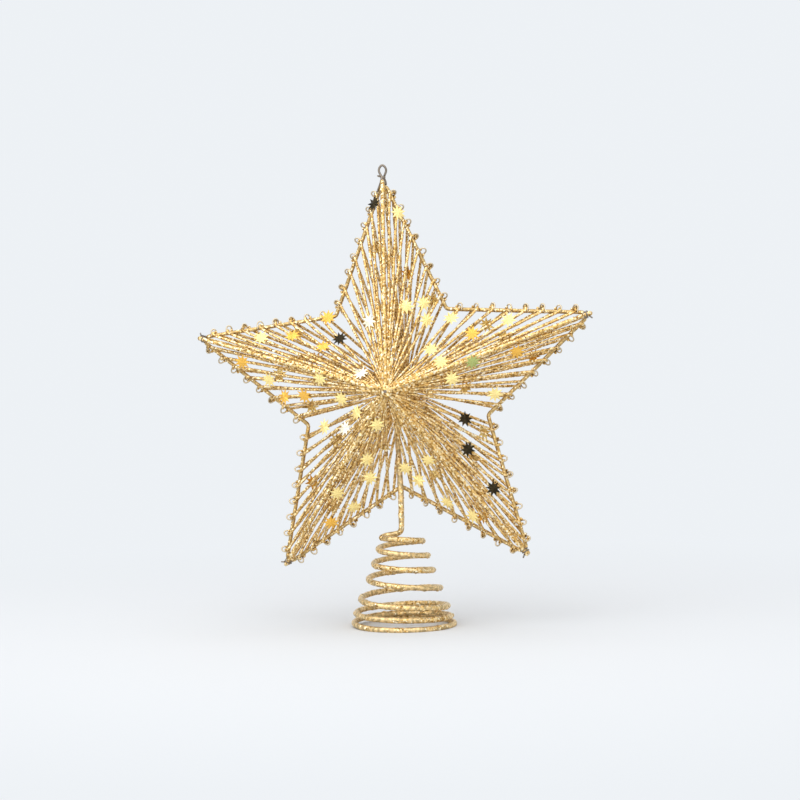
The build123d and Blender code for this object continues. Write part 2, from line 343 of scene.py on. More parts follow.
FLAKE_TONES_AND_GLINTS = (
    (0.0, (0.30, 0.15, 0.03)),
    (0.25, (0.56, 0.33, 0.09)),
    (0.55, (0.82, 0.56, 0.22)),
    (0.80, (1.0, 0.80, 0.45)),
    (1.0, (1.0, 0.92, 0.70)),
)
STRAND_GLITTER = Glitter("strand_glitter", (0.72, 0.46, 0.15), FLAKE_TONES_AND_GLINTS, 0.8 * MM, 0.85, 0.9, 0.32)
# Painted shade: the frame wire's ground is darker and browner than the strands', for the shade that it lies
# in; the picots' glue film shares this material.
FRAME_GLITTER_SHADED = Glitter("frame_glitter_shaded", (0.54, 0.37, 0.15), FLAKE_TONES_AND_GLINTS, 0.7 * MM, 0.32, 0.7, 0.38)
SPRING_PAINT = Glitter(
    "spring_paint", (0.76, 0.56, 0.28), FLAKE_TONES_AND_GLINTS, 0.8 * MM, 0.24, 0.8, 0.40, patch=0.5, mottle=0.4
)
CHIP = Metal("glitter_chip", (0.98, 0.76, 0.36), 0.20, 1.0 * MM)
PICOT_WIRE = Metal("picot_wire", (0.60, 0.50, 0.35), 0.34, 1.2 * MM)
BARE_WIRE = Metal("bare_wire", (0.24, 0.20, 0.16), 0.32, 1.2 * MM)


@dataclass(frozen=True)
class Coat:
    """Roughness of a wire's coat: slow lumps, a fine grain and loose clots, by height and size."""

    lump: float = 0.0
    lump_size: float = 3 * MM
    grain: float = 0.0
    grain_size: float = 0.6 * MM
    clot: float = 0.0
    clot_size: float = 1.8 * MM
    clot_level: float = 0.35

    def height(self, point: Vector) -> float:
        """Height of the coat over the wire.

        Args:
            point: Point on the bare wire.

        Returns:
            The height in metres.
        """
        tall = self.lump * noise.noise(point / self.lump_size) if self.lump else 0.0
        tall += self.grain * noise.noise(point / self.grain_size) if self.grain else 0.0
        return tall + self.clot * max(0.0, noise.noise(point / self.clot_size) - self.clot_level)


def resampled(points: Line, step: float) -> Line:
    """Points at even distances along a line.

    Args:
        points: Corners of the line.
        step: Wanted distance in metres.

    Returns:
        The new points, both ends included.
    """
    reach = [0.0]
    for near, far in zip(points, points[1:]):
        reach.append(reach[-1] + (far - near).length)
    count = max(LEAST_POINTS, round(reach[-1] / step) + 1)
    result = []
    piece = 0
    for number in range(count):
        target = reach[-1] * number / (count - 1)
        while piece < len(points) - 2 and reach[piece + 1] < target:
            piece += 1
        run = reach[piece + 1] - reach[piece]
        result.append(points[piece].lerp(points[piece + 1], (target - reach[piece]) / run if run else 0.0))
    return result


def smoothed(points: Line, pieces: int = 8) -> Line:
    """A smooth line through points.

    Args:
        points: Points that the line goes through.
        pieces: Pieces between each two of them.

    Returns:
        Points along the line.
    """
    ends = [points[0] * 2 - points[1], *points, points[-1] * 2 - points[-2]]
    line = []
    for a, b, c, d in zip(ends, ends[1:], ends[2:], ends[3:]):
        for number in range(pieces):
            t = number / pieces
            square = (2 * a - 5 * b + 4 * c - d) * t**2
            cube = (3 * b - a - 3 * c + d) * t**3
            line.append(0.5 * (2 * b + (c - a) * t + square + cube))
    return [*line, points[-1]]


def rounded(corners: Line, radii: list[float], pieces: int = 8) -> Line:
    """A line of straight runs with a round bend at each inner corner.

    Args:
        corners: Ends and corners of the line.
        radii: Radius of the bend at each inner corner.
        pieces: Pieces in each bend.

    Returns:
        Points along the line.
    """
    line = [corners[0]]
    for before, corner, after, radius in zip(corners, corners[1:], corners[2:], radii):
        back = (before - corner).normalized()
        ahead = (after - corner).normalized()
        half = back.angle(ahead) / 2
        cut = radius / math.tan(half)
        centre = corner + (back + ahead).normalized() * (radius / math.sin(half))
        first = (corner + back * cut - centre).normalized()
        last = (corner + ahead * cut - centre).normalized()
        for number in range(pieces + 1):
            line.append(centre + first.slerp(last, number / pieces) * radius)
    return [*line, corners[-1]]


def mirrored(half: tuple[Offset, ...]) -> list[Offset]:
    """A bend that goes up on one side and down on the other, from its first half with the top."""
    return [*half, *((-x, y, -z) for x, y, z in reversed(half[:-1]))]


def pour(source: Mesh, target: Mesh, index: int = 0) -> None:
    """Move a small mesh into a larger one.

    Args:
        source: Mesh that is moved, and freed.
        target: Mesh that takes it.
        index: Index of its material.
    """
    for face in source.faces:
        face.material_index = index
    mesh = bpy.data.meshes.new("poured")
    source.to_mesh(mesh)
    source.free()
    target.from_mesh(mesh)
    bpy.data.meshes.remove(mesh)


@dataclass
class Wire:
    """Round bar of one thickness, bent along a line and coated."""

    line: Line
    thickness: float
    step: float
    sides: int
    coat: Coat = Coat()
    closed: bool = False
    tip: float = 0.6
    taper: float = 1.0
    taper_reach: float = 0.45
    index: int = 0

    def add_to(self, bm: Mesh) -> None:
        """Bend a straight bar along the line, in a mesh that may hold other pieces.

        Args:
            bm: Mesh that takes the bar.
        """
        places = resampled(self.line, self.step)
        last = len(places) - 1
        capped = not self.closed
        bar = bmesh.new()
        bmesh.ops.create_cone(bar, cap_ends=capped, segments=self.sides, radius1=1, radius2=1, depth=1)
        long_edges = [edge for edge in bar.edges if abs(edge.verts[0].co.z - edge.verts[1].co.z) > 0.5]
        bmesh.ops.subdivide_edges(bar, edges=long_edges, cuts=last - 1, use_grid_fill=True)
        across = self.frames(places)
        for vert in bar.verts:
            ring = round((vert.co.z + 0.5) * last)
            normal, other = across[ring]
            out = normal * vert.co.x + other * vert.co.y
            grown = self.taper + (1 - self.taper) * ring / last / self.taper_reach
            radius = self.thickness / 2 * min(1.0, grown)
            if capped and ring in (0, last):
                radius *= self.tip
            foot = places[ring] + out * radius
            vert.co = foot + out * self.coat.height(foot)
        if self.closed:
            bmesh.ops.remove_doubles(bar, verts=bar.verts, dist=WELD)
        pour(bar, bm, self.index)

    def frames(self, places: Line) -> list[tuple[Vector, Vector]]:
        """Two directions across the wire at each place, carried along without twist.

        Args:
            places: Points along the wire.

        Returns:
            A pair of unit directions for each point.
        """
        count = len(places)
        tangents = []
        for number in range(count):
            near = places[max(number - 1, 0)]
            far = places[min(number + 1, count - 1)]
            if self.closed and number in (0, count - 1):
                near, far = places[-2], places[1]
            tangents.append((far - near).normalized())
        normal = tangents[0].orthogonal().normalized()
        pairs = []
        for tangent in tangents:
            normal = (normal - tangent * normal.dot(tangent)).normalized()
            pairs.append((normal, tangent.cross(normal)))
        return pairs


@dataclass
class Chips:
    """Loose glitter chips, six-sided plates stuck along a wire's coat."""

    chance: random.Random
    spacing: float = 2.0 * MM
    width: float = 0.62 * MM
    depth: float = 0.06 * MM
    sides: int = 6
    sizes: Span = (0.7, 1.15)
    lean: float = 0.5

    def add_to(self, bm: Mesh, line: Line, radius: float, index: int) -> None:
        """Stick chips round a wire at random.

        Args:
            bm: Mesh that takes them.
            line: Course of the wire.
            radius: Radius of the coat.
            index: Index of the chips' material.
        """
        places = resampled(line, self.spacing)
        loose = bmesh.new()
        for near, far in zip(places, places[1:]):
            along = (far - near).normalized()
            out = along.orthogonal().normalized()
            out.rotate(Quaternion(along, self.chance.uniform(0, math.tau)))
            spot = near.lerp(far, self.chance.random()) + out * radius
            up = out + Vector([self.chance.gauss(0, self.lean) for _ in range(3)])
            place = Matrix.Translation(spot) @ up.to_track_quat("Z", "X").to_matrix().to_4x4()
            size = self.width / 2 * self.chance.uniform(*self.sizes)
            plate = {"segments": self.sides, "radius1": size, "radius2": size, "depth": self.depth}
            bmesh.ops.create_cone(loose, cap_ends=True, matrix=place, **plate)
        pour(loose, bm, index)


def solids_of(node: Item) -> list[Line]:
    """Corner points of each separate solid in a CAD node.

    Args:
        node: The CAD node.

    Returns:
        A list of points for each solid, in the node's order.
    """
    bm = bmesh.new()
    bm.from_mesh(node.data)
    bmesh.ops.remove_doubles(bm, verts=bm.verts, dist=SAME_POINT)
    seen: set[bmesh.types.BMVert] = set()
    solids = []
    for start in bm.verts:
        if start in seen:
            continue
        seen.add(start)
        group = [start]
        for vert in group:
            for edge in vert.link_edges:
                other = edge.other_vert(vert)
                if other not in seen:
                    seen.add(other)
                    group.append(other)
        solids.append([vert.co.copy() for vert in group])
    bm.free()
    return solids


def middle(points: Line) -> Vector:
    """Mean of some points."""
    return sum(points, Vector()) / len(points)


@dataclass
class Star:
    """The star's own plane: X to its right, Y to its top, Z to its front, in metres."""

    nodes: dict[str, Item]
    lean: float = math.radians(2.5)
    tip_reach: float = 105 * MM
    notch_reach: float = 48 * MM
    apex: float = 26 * MM
    frame_wire: float = 2.0 * MM
    end_margin: float = 0.75
    per_edge: int = 8
    first: float = 7.5 * MM
    last: float = 7.0 * MM

    def __post_init__(self) -> None:
        """Find the hub and the star's directions."""
        low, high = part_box("hub_spindle")
        self.hub = (Vector(low) + Vector(high)) / 2
        cos, sin = math.cos(self.lean), math.sin(self.lean)
        turn = Matrix(((cos, -sin, 0), (0, 0, -1), (sin, cos, 0)))
        self.to_frame = Matrix.Translation(self.hub) @ turn.to_4x4()
        self.to_star = self.to_frame.inverted()

    def corner(self, number: int) -> Vector:
        """Tip, for an even number, or notch of the outline, clockwise from the top tip."""
        angle = math.radians(90 - CORNER_STEP * number)
        return Vector((math.cos(angle), math.sin(angle), 0)) * (self.tip_reach, self.notch_reach)[number % 2]

    def edge(self, arm: int, side: int) -> tuple[Vector, Vector, float]:
        """Tip, direction to the notch and length of an arm's edge, before or after its tip (-1 or 1)."""
        tip, notch = self.corner(2 * arm), self.corner(2 * arm + side)
        return tip, (notch - tip).normalized(), (notch - tip).length

    def places(self, arm: int, side: int) -> Line:
        """Where the strands of one edge sit on the frame.

        Args:
            arm: Number of the arm.
            side: Side of the edge.

        Returns:
            A point for each strand, from the tip on.
        """
        tip, along, length = self.edge(arm, side)
        step = (length - self.first - self.last) / (self.per_edge - 1)
        return [tip + along * (self.first + step * number) for number in range(self.per_edge)]

    def outward(self, arm: int, side: int) -> Vector:
        """Direction square to an edge, away from the hub."""
        tip, along, _ = self.edge(arm, side)
        return (tip - along * tip.dot(along)).normalized()

    def placed(self, points: Line) -> Line:
        """Points of the star's plane, in the frame."""
        return [self.to_frame @ point for point in points]

    def ends(self, solid: Line) -> tuple[Vector, Vector]:
        """Both ends of a strand's or rib's solid.

        Args:
            solid: Corner points of the solid.

        Returns:
            Its outer and inner end, in the star's plane.
        """
        points = [self.to_star @ point for point in solid]
        reaches = [point.xy.length for point in points]
        margin = self.frame_wire * self.end_margin
        outer = [point for point, reach in zip(points, reaches) if reach > max(reaches) - margin]
        inner = [point for point, reach in zip(points, reaches) if reach < min(reaches) + margin]
        return middle(outer), middle(inner)


@dataclass
class Piece:
    """One shown piece, which stands for CAD nodes."""

    name: str
    body: str = "star"
    slot: str = "glitter_strand"
    smooth: bool = True

    def publish(self, bm: Mesh, nodes: list[str], finishes: list[Material]) -> Item:
        """Turn a finished mesh into an object that rides its body.

        Args:
            bm: The mesh, which is freed.
            nodes: CAD nodes that it stands for.
            finishes: Its materials, in the order of its faces' indices.

        Returns:
            The new object.
        """
        bmesh.ops.recalc_face_normals(bm, faces=bm.faces)
        mesh = bpy.data.meshes.new(self.name)
        bm.to_mesh(mesh)
        bm.free()
        mesh.polygons.foreach_set("use_smooth", [self.smooth] * len(mesh.polygons))
        for finish in finishes:
            mesh.materials.append(finish)
        piece = bpy.data.objects.new(self.name, mesh)
        bpy.context.scene.collection.objects.link(piece)
        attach(piece, self.body)
        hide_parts(*nodes)
        return piece


@dataclass
class Strands:
    """Glittered wires from the edges to one hub, an arm at a time."""

    star: Star
    face: Face
    finish: Material
    chip: Material
    thickness: float = 1.44 * MM
    taper: float = 0.55
    step: float = 0.6 * MM
    sides: int = 7
    coat: Coat = Coat(0.08 * MM, 2.4 * MM, 0.16 * MM, 0.55 * MM)
    inner_reach: float = 1.7 * MM
    bow: float = 0.55 * MM
    slip: float = 0.75 * MM
    layers: Span = (-0.8 * MM, 0.5 * MM)
    layer_left: float = 0.5
    landing: float = 0.04
    grip: float = 0.35
    over_rise: float = 0.6
    over_reach: float = 0.8
    under_drop: float = 0.2
    bare_start: int = 12
    seed: int = 7
    chip_seed: int = 17

    def line(self, outer: Vector, inner: Vector, out: Vector, chance: random.Random) -> Line:
        """Course of one strand.

        Args:
            outer: Its place over the frame.
            inner: Its end at the hub.
            out: Direction away from the hub, square to its edge.
            chance: Source of its slip, layer and bow.

        Returns:
            Points from the hub to under the frame, in the star's plane.
        """
        sign = self.face.value
        outer = outer + out.cross(TO_FRONT) * chance.uniform(-self.slip, self.slip)
        run = inner - outer
        layer = Vector((0, 0, sign * chance.uniform(*self.layers)))
        deep = inner + run.normalized() * (inner.xy.length - self.inner_reach) + layer * self.layer_left
        sway = run.cross(TO_FRONT).normalized() * chance.uniform(-self.bow, self.bow)
        lift = Vector((0, 0, sign * chance.uniform(-self.bow, self.bow)))
        wrap = self.star.frame_wire / 2 + self.thickness * self.grip
        halfway = outer.lerp(inner, 0.5) + sway + lift
        landed = outer.lerp(inner, self.landing)
        over = Vector((outer.x, outer.y, sign * wrap * self.over_rise)) + out * wrap * self.over_reach
        under = Vector((outer.x, outer.y, -sign * wrap * self.under_drop)) + out * wrap
        return smoothed([deep, inner + layer, halfway, landed, over, under])

    def build(self) -> None:
        """Build the strands of every arm, with their loose chips."""
        chance = random.Random(self.seed + self.face.value)
        chips = Chips(random.Random(self.chip_seed + self.face.value))
        finishes = [self.finish, self.chip]
        for arm, name in enumerate(ARMS):
            node = f"{self.face.word}_strands_{name}"
            tip = self.star.corner(2 * arm)
            outs = [self.star.outward(arm, side) for side in SIDES]
            bm = bmesh.new()
            for solid in solids_of(self.star.nodes[node]):
                outer, inner = self.star.ends(solid)
                out = min(outs, key=lambda way: abs((outer.xy - tip.xy).dot(way.xy)))
                course = self.star.placed(self.line(outer, inner, out, chance))
                Wire(course, self.thickness, self.step, self.sides, self.coat, taper=self.taper).add_to(bm)
                chips.add_to(bm, course[self.bare_start:], self.thickness / 2, finishes.index(self.chip))
            Piece(f"{node}_coated").publish(bm, [node], finishes)


@dataclass
class Ribs:
    """Thicker glittered wires from the tips to one hub."""

    star: Star
    face: Face
    finish: Material
    thickness: float = 2.1 * MM
    step: float = 0.6 * MM
    sides: int = 9
    coat: Coat = Coat(0.12 * MM, 2.6 * MM, 0.22 * MM, 0.6 * MM)
    sunk: float = 0.6

    def build(self) -> None:
        """Build the rib of every arm."""
        for name in ARMS:
            node = f"{self.face.word}_rib_{name}"
            bm = bmesh.new()
            outer, inner = self.star.ends(solids_of(self.star.nodes[node])[0])
            deep = inner + (inner - outer).normalized() * inner.xy.length * self.sunk
            course = self.star.placed([deep, inner, outer])
            Wire(course, self.thickness, self.step, self.sides, self.coat).add_to(bm)
            Piece(f"{node}_coated", slot="glitter_wire").publish(bm, [node], [self.finish])


@dataclass
class Frame:
    """The bent star outline."""

    star: Star
    finish: Material
    bend: float = 2.2 * MM
    step: float = 0.7 * MM
    sides: int = 10
    coat: Coat = Coat(0.06 * MM, 2.2 * MM, 0.10 * MM, 0.6 * MM)

    def build(self) -> None:
        """Build the frame."""
        count = 2 * len(ARMS)
        start = (self.star.corner(0) + self.star.corner(-1)) / 2
        corners = [start, *(self.star.corner(number) for number in range(count)), start]
        outline = self.star.placed(rounded(corners, [self.bend] * count))
        bm = bmesh.new()
        Wire(outline, self.star.frame_wire, self.step, self.sides, self.coat, closed=True).add_to(bm)
        Piece("star_frame_coated", slot="glitter_wire").publish(bm, ["star_frame"], [self.finish])


@dataclass
class Picots:
    """Small bare bends of wire that stand out along the frame, and the windings at four tips."""

    star: Star
    wire: Material
    glue: Material
    bare: Material
    thickness: float = 0.75 * MM
    step: float = 0.35 * MM
    sides: int = 7
    pieces: int = 5
    # Half of one bend: shares of its width along the frame, its height and its depth.
    half: tuple[Offset, ...] = (
        (-0.42, -0.15, 1.0), (-0.45, 0.25, 0.8), (-0.52, 0.62, 0.45), (-0.30, 0.92, 0.15), (0, 1.0, 0)
    )
    height: float = 3.5 * MM
    heights: Span = (0.88, 1.08)
    spread: float = 2.3 * MM
    spreads: Span = (0.9, 1.1)
    shift: float = 0.4 * MM
    filled: float = 0.3
    film: float = 0.16 * MM
    film_sides: int = 14
    film_radius: float = 0.42
    film_rise: float = 0.62
    film_turn: float = 0.45
    wind_turns: float = 2.1
    wind_start: float = 3.8 * MM
    wind_end: float = 1.3 * MM
    wind_width: float = 1.6 * MM
    wind_depth: float = 3.7 * MM
    wind_pieces: int = 40
    loose: float = 1.5 * MM
    loose_rise: float = 0.6
    glue_index: int = 1
    bare_index: int = 2
    seed: int = 11

    def line(self, foot: Vector, along: Vector, out: Vector, chance: random.Random) -> Line:
        """Course of one picot.

        Args:
            foot: Its middle on the frame.
            along: Direction of the frame.
            out: Direction away from the hub.
            chance: Source of its small unevenness.

        Returns:
            Points from the front of the frame over the bend to its back.
        """
        deep = TO_FRONT * (self.star.frame_wire / 2 + self.thickness / 2)
        tall = self.height * chance.uniform(*self.heights)
        wide = self.spread * chance.uniform(*self.spreads)
        bend = [foot + along * wide * x + out * tall * y + deep * z for x, y, z in mirrored(self.half)]
        return smoothed(bend, self.pieces)

    def add_film(self, bm: Mesh, foot: Vector, along: Vector, out: Vector) -> None:
        """Fill one picot with a film of glitter glue.

        Args:
            bm: Mesh that takes the film.
            foot: Middle of the picot on the frame.
            along: Direction of the frame.
            out: Direction away from the hub.
        """
        radius = self.spread * self.film_radius
        skin = bmesh.new()
        bmesh.ops.create_circle(skin, cap_ends=True, segments=self.film_sides, radius=radius)
        bmesh.ops.solidify(skin, geom=skin.faces, thickness=self.film)
        turn = Matrix((along, out, along.cross(out))).transposed().to_4x4()
        rise = Matrix.Translation(foot + out * self.height * self.film_rise)
        place = rise @ turn @ Matrix.Rotation(self.film_turn, 4, "Y")
        bmesh.ops.transform(skin, matrix=self.star.to_frame @ place, verts=skin.verts)
        pour(skin, bm, self.glue_index)

    def bind_tip(self, bm: Mesh, arm: int) -> None:
        """Wind the bare wire's end round both ribs at one tip.

        Args:
            bm: Mesh that takes the winding.
            arm: Number of the arm.
        """
        tip = self.star.corner(2 * arm)
        out = tip.normalized()
        aside = out.cross(TO_FRONT)
        course = []
        for number in range(self.wind_pieces + 1):
            share = number / self.wind_pieces
            angle = math.tau * self.wind_turns * share
            inset = self.wind_start + (self.wind_end - self.wind_start) * share
            across = aside * math.cos(angle) * self.wind_width + TO_FRONT * math.sin(angle) * self.wind_depth
            course.append(tip - out * inset + across)
        course.append(course[-1] + (aside + out * self.loose_rise) * self.loose)
        winding = self.star.placed(course)
        Wire(winding, self.thickness, self.step, self.sides, index=self.bare_index).add_to(bm)

    def build(self) -> None:
        """Build the picots of every arm, some filled with glue, and the windings of darker wire."""
        chance = random.Random(self.seed)
        finishes = [self.wire, self.glue, self.bare]
        for arm, name in enumerate(ARMS):
            bm = bmesh.new()
            for side in SIDES:
                _, along, _ = self.star.edge(arm, side)
                out = self.star.outward(arm, side)
                for place in self.star.places(arm, side):
                    foot = place + along * self.shift
                    course = self.star.placed(self.line(foot, along, out, chance))
                    Wire(course, self.thickness, self.step, self.sides).add_to(bm)
                    if chance.random() < self.filled:
                        self.add_film(bm, foot, along, out)
            if name != "top":
                self.bind_tip(bm, arm)
            node = f"picots_{name}"
            Piece(f"{node}_bent", slot="bare_wire").publish(bm, [node], finishes)


@dataclass
class Hub:
    """Mound of glitter glue that gathers one face's strands."""

    star: Star
    face: Face
    finish: Material
    radius: float = 3.4 * MM
    rise: float = 1.4 * MM
    drop: float = 2.9 * MM
    fineness: int = 5
    coat: Coat = Coat(0.25 * MM, 1.6 * MM, 0.2 * MM, 0.6 * MM)

    def build(self) -> None:
        """Build the mound."""
        node = f"{self.face.word}_hub"
        bm = bmesh.new()
        bmesh.ops.create_icosphere(bm, subdivisions=self.fineness, radius=1)
        for vert in bm.verts:
            out = vert.co.normalized()
            tall = self.rise if out.z > 0 else self.drop
            point = Vector((out.x * self.radius, out.y * self.radius, self.star.apex + out.z * tall))
            point += out * self.coat.height(point)
            point.z *= self.face.value
            vert.co = self.star.to_frame @ point
        Piece(f"{node}_coated", slot="glitter_hub").publish(bm, [node], [self.finish])


@dataclass
class Eye:
    """Bare wire eye, twisted on at the top tip."""

    star: Star
    finish: Material
    thickness: float = 1.15 * MM
    step: float = 0.4 * MM
    sides: int = 9
    # Half of the loop, in millimetres across and above the tip and in shares of its depth.
    half: tuple[Offset, ...] = (
        (-1.1, -2.4, 1.0), (-0.8, -0.6, 1.0), (-0.35, 1.3, 0.55), (-1.0, 2.6, 0.2),
        (-1.8, 4.6, 0.1), (-1.35, 6.4, 0.0), (0.0, 7.4, 0.0),
    )
    trim_step: float = 0.35 * MM
    trim_sides: int = 8
    twist_share: float = 0.8
    twist_turns: float = 1.6
    twist_pieces: int = 24
    twist_radius: float = 0.95 * MM
    twist_start: float = 0.9 * MM
    twist_rise: float = 0.9 * MM
    # The twist's cut end, in millimetres from its last point.
    tail: tuple[Offset, ...] = ((-1.2, 0.3, 0.2), (-2.1, 0.7, 0.2))
    stub_share: float = 0.75
    stub_top: Offset = (-0.4 * MM, 0.6 * MM, 0.9 * MM)
    # The stub along the left edge, in millimetres from its top and in front of it.
    stub_line: tuple[Span, ...] = ((0, 0), (3, 0.5), (8, 0.4), (11, 0.2))

    def twist(self) -> Line:
        """Course of the wire wound round the eye's foot, with its cut end.

        Returns:
            Points in the star's plane.
        """
        course = []
        for number in range(self.twist_pieces + 1):
            share = number / self.twist_pieces
            angle = math.tau * self.twist_turns * share
            x, z = math.cos(angle) * self.twist_radius, math.sin(angle) * self.twist_radius
            course.append(Vector((x, self.star.tip_reach + self.twist_start + self.twist_rise * share, z)))
        end = course[-1]
        return course + [end + Vector((x * MM, y * MM, z * MM)) for x, y, z in self.tail]

    def build(self) -> None:
        """Build the eye, its twist and the stub of wire beside it."""
        star = self.star
        depth = (star.frame_wire + self.thickness) / 2
        loop = [Vector((x * MM, star.tip_reach + y * MM, z * depth)) for x, y, z in mirrored(self.half)]
        _, along, _ = star.edge(ARMS.index("top"), -1)
        top = star.corner(0) + Vector(self.stub_top)
        stub = [top + along * reach * MM + TO_FRONT * lift * MM for reach, lift in self.stub_line]
        bm = bmesh.new()
        Wire(star.placed(smoothed(loop)), self.thickness, self.step, self.sides).add_to(bm)
        for course, share in ((self.twist(), self.twist_share), (smoothed(stub), self.stub_share)):
            Wire(star.placed(course), self.thickness * share, self.trim_step, self.trim_sides).add_to(bm)
        Piece("hanging_eye_bent", slot="bare_wire").publish(bm, ["hanging_eye"], [self.finish])


@dataclass
class Sequins:
    """Foil starbursts stuck on one face's strands, and three on the frame."""

    star: Star
    face: Face
    finishes: dict[Foil, Material]
    points: int = 9
    radius: float = 4.3 * MM
    root: float = 2.2 * MM
    dome: float = 0.45 * MM
    dip: float = 0.2
    foil: float = 0.12 * MM
    tilt: float = 0.12
    frame_seat: float = 3.1 * MM
    seed: int = 5

    def seat(self, arm: int, number: int) -> Vector | None:
        """Place of a sequin that is stuck on the frame itself.

        Args:
            arm: Number of the arm.
            number: Number of the sequin in its arm.

        Returns:
            Its middle, or None for a sequin on the strands.
        """
        if self.face is Face.BACK or (ARMS[arm], number) not in FRAME_SEATS:
            return None
        side, reach = FRAME_SEATS[ARMS[arm], number]
        tip, along, _ = self.star.edge(arm, side)
        return self.star.to_frame @ (tip + along * reach + Vector((0, 0, self.frame_seat)))

    def lie(self, solid: Line) -> Matrix:
        """How a sequin's CAD solid lies.

        Args:
            solid: Corner points of the solid.

        Returns:
            Turn that takes X to one of its rays and Z away from the star.
        """
        centre = middle(solid)
        far = max(solid, key=lambda point: (point - centre).length)
        first = (far - centre).normalized()
        aside = max(solid, key=lambda point: (point - centre).cross(first).length)
        up = first.cross(aside - centre).normalized()
        if (self.star.to_star.to_3x3() @ up).z * self.face.value < 0:
            up = -up
        return Matrix((first, up.cross(first), up)).transposed().to_4x4()

    def add_burst(self, bm: Mesh, place: Matrix, tone: int, chance: random.Random) -> None:
        """Add one starburst.

        Args:
            bm: Mesh that takes it.
            place: Where and how it lies.
            tone: Index of its material.
            chance: Source of its small tilt.
        """
        made = bmesh.ops.create_circle(bm, cap_ends=True, segments=2 * self.points, radius=self.radius)
        ring = made["verts"]
        for number, vert in enumerate(ring):
            if number % 2:
                vert.co *= self.root / self.radius
                vert.co.z = -self.dip * self.dome
        poked = bmesh.ops.poke(bm, faces=list({face for vert in ring for face in vert.link_faces}))
        for vert in poked["verts"]:
            vert.co.z = self.dome
        for face in poked["faces"]:
            face.material_index = tone
        shell = bmesh.ops.solidify(bm, geom=poked["faces"], thickness=self.foil)
        verts = set(ring) | set(poked["verts"])
        verts |= {item for item in shell["geom"] if isinstance(item, bmesh.types.BMVert)}
        for axis in "XY":
            place = place @ Matrix.Rotation(chance.gauss(0, self.tilt), 4, axis)
        bmesh.ops.transform(bm, matrix=place, verts=list(verts))

    def build(self) -> None:
        """Build the sequins of every arm."""
        tones = list(Foil)
        chance = random.Random(self.seed + self.face.value)
        for arm, name in enumerate(ARMS):
            node = f"{self.face.word}_sequins_{name}"
            letters = FRONT_TONES[name] if self.face is Face.FRONT else BACK_TONES
            bm = bmesh.new()
            for number, solid in enumerate(solids_of(self.star.nodes[node])):
                tone = tones.index(FOIL_LETTERS[letters[number % len(letters)]])
                centre = self.seat(arm, number) or middle(solid)
                self.add_burst(bm, Matrix.Translation(centre) @ self.lie(solid), tone, chance)
            skins = [self.finishes[tone] for tone in tones]
            Piece(f"{node}_foil", slot="gold_foil", smooth=False).publish(bm, [node], skins)


@dataclass
class Coil:
    """Conical coil spring, the star's foot and socket. Its wire is followed in turns up from its free end."""

    finish: Material
    base_radius: float = 26.3 * MM
    top_radius: float = 9.5 * MM
    pitch: float = 7.3 * MM
    turns: float = 6.75
    flat: float = 0.58
    ease: float = 0.2
    crown: float = 0.3
    floor: float = 0.93 * MM
    top_angle: float = math.radians(225)
    thickness: float = 2.85 * MM
    per_turn: int = 64
    step: float = 0.8 * MM
    sides: int = 14
    travel: float = 20 * MM
    slack_start: float = 0.6
    slack_end: float = 4.2
    sag: float = 3.4 * MM
    belly: float = 2.0 * MM
    coat: Coat = Coat(0.10 * MM, 3.5 * MM, 0.06 * MM, 0.8 * MM, 1.1 * MM)

    def slack(self, turns: float) -> float:
        """Share of the sag and belly that the wire has, that many turns up."""
        share = (turns - self.slack_start) / (self.slack_end - self.slack_start)
        return math.sin(math.pi * min(max(share, 0), 1)) ** 2

    def height(self, turns: float) -> float:
        """Height of the wire.

        Args:
            turns: Place on the wire.

        Returns:
            Height of its middle over the floor.
        """
        start = self.turns - self.crown
        eased = min(max(turns - self.flat, 0), self.ease)
        steady = min(max(turns - self.flat - self.ease, 0), start - self.flat - self.ease)
        crowned = max(turns - start, 0)
        climb = eased**2 / (2 * self.ease) + steady + crowned - crowned**2 / (2 * self.crown)
        return self.floor + self.pitch * climb - self.sag * self.slack(turns)

    def point(self, turns: float) -> Vector:
        """Point in the middle of the wire.

        Args:
            turns: Place on the wire.

        Returns:
            The point.
        """
        radius = self.base_radius + (self.top_radius - self.base_radius) * turns / self.turns
        radius += self.belly * self.slack(turns)
        angle = self.top_angle + math.tau * (self.turns - turns)
        return Vector((radius * math.cos(angle), radius * math.sin(angle), self.height(turns)))

    @property
    def heading(self) -> Vector:
        """Level direction in which the wire leaves the coil."""
        return Vector((math.sin(self.top_angle), -math.cos(self.top_angle), 0))

    def build(self) -> None:
        """Build the coil."""
        count = round(self.turns * self.per_turn)
        line = [self.point(self.turns * number / count) for number in range(count + 1)]
        line.append(line[-1] + self.heading * self.thickness)
        bm = bmesh.new()
        Wire(line, self.thickness, self.step, self.sides, self.coat).add_to(bm)
        low = (0, 0, max(min(vert.co.z for vert in bm.verts), 0))
        parts = [*bm.verts, *bm.edges, *bm.faces]
        bmesh.ops.bisect_plane(bm, geom=parts, plane_co=low, plane_no=(0, 0, -1), clear_outer=True)
        open_edges = [edge for edge in bm.edges if edge.is_boundary]
        bmesh.ops.holes_fill(bm, edges=open_edges, sides=0)
        piece = Piece("coil_spring_wound", "base", "glitter_wire").publish(bm, ["coil_spring"], [self.finish])
        top = self.height(self.turns)
        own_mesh(piece)


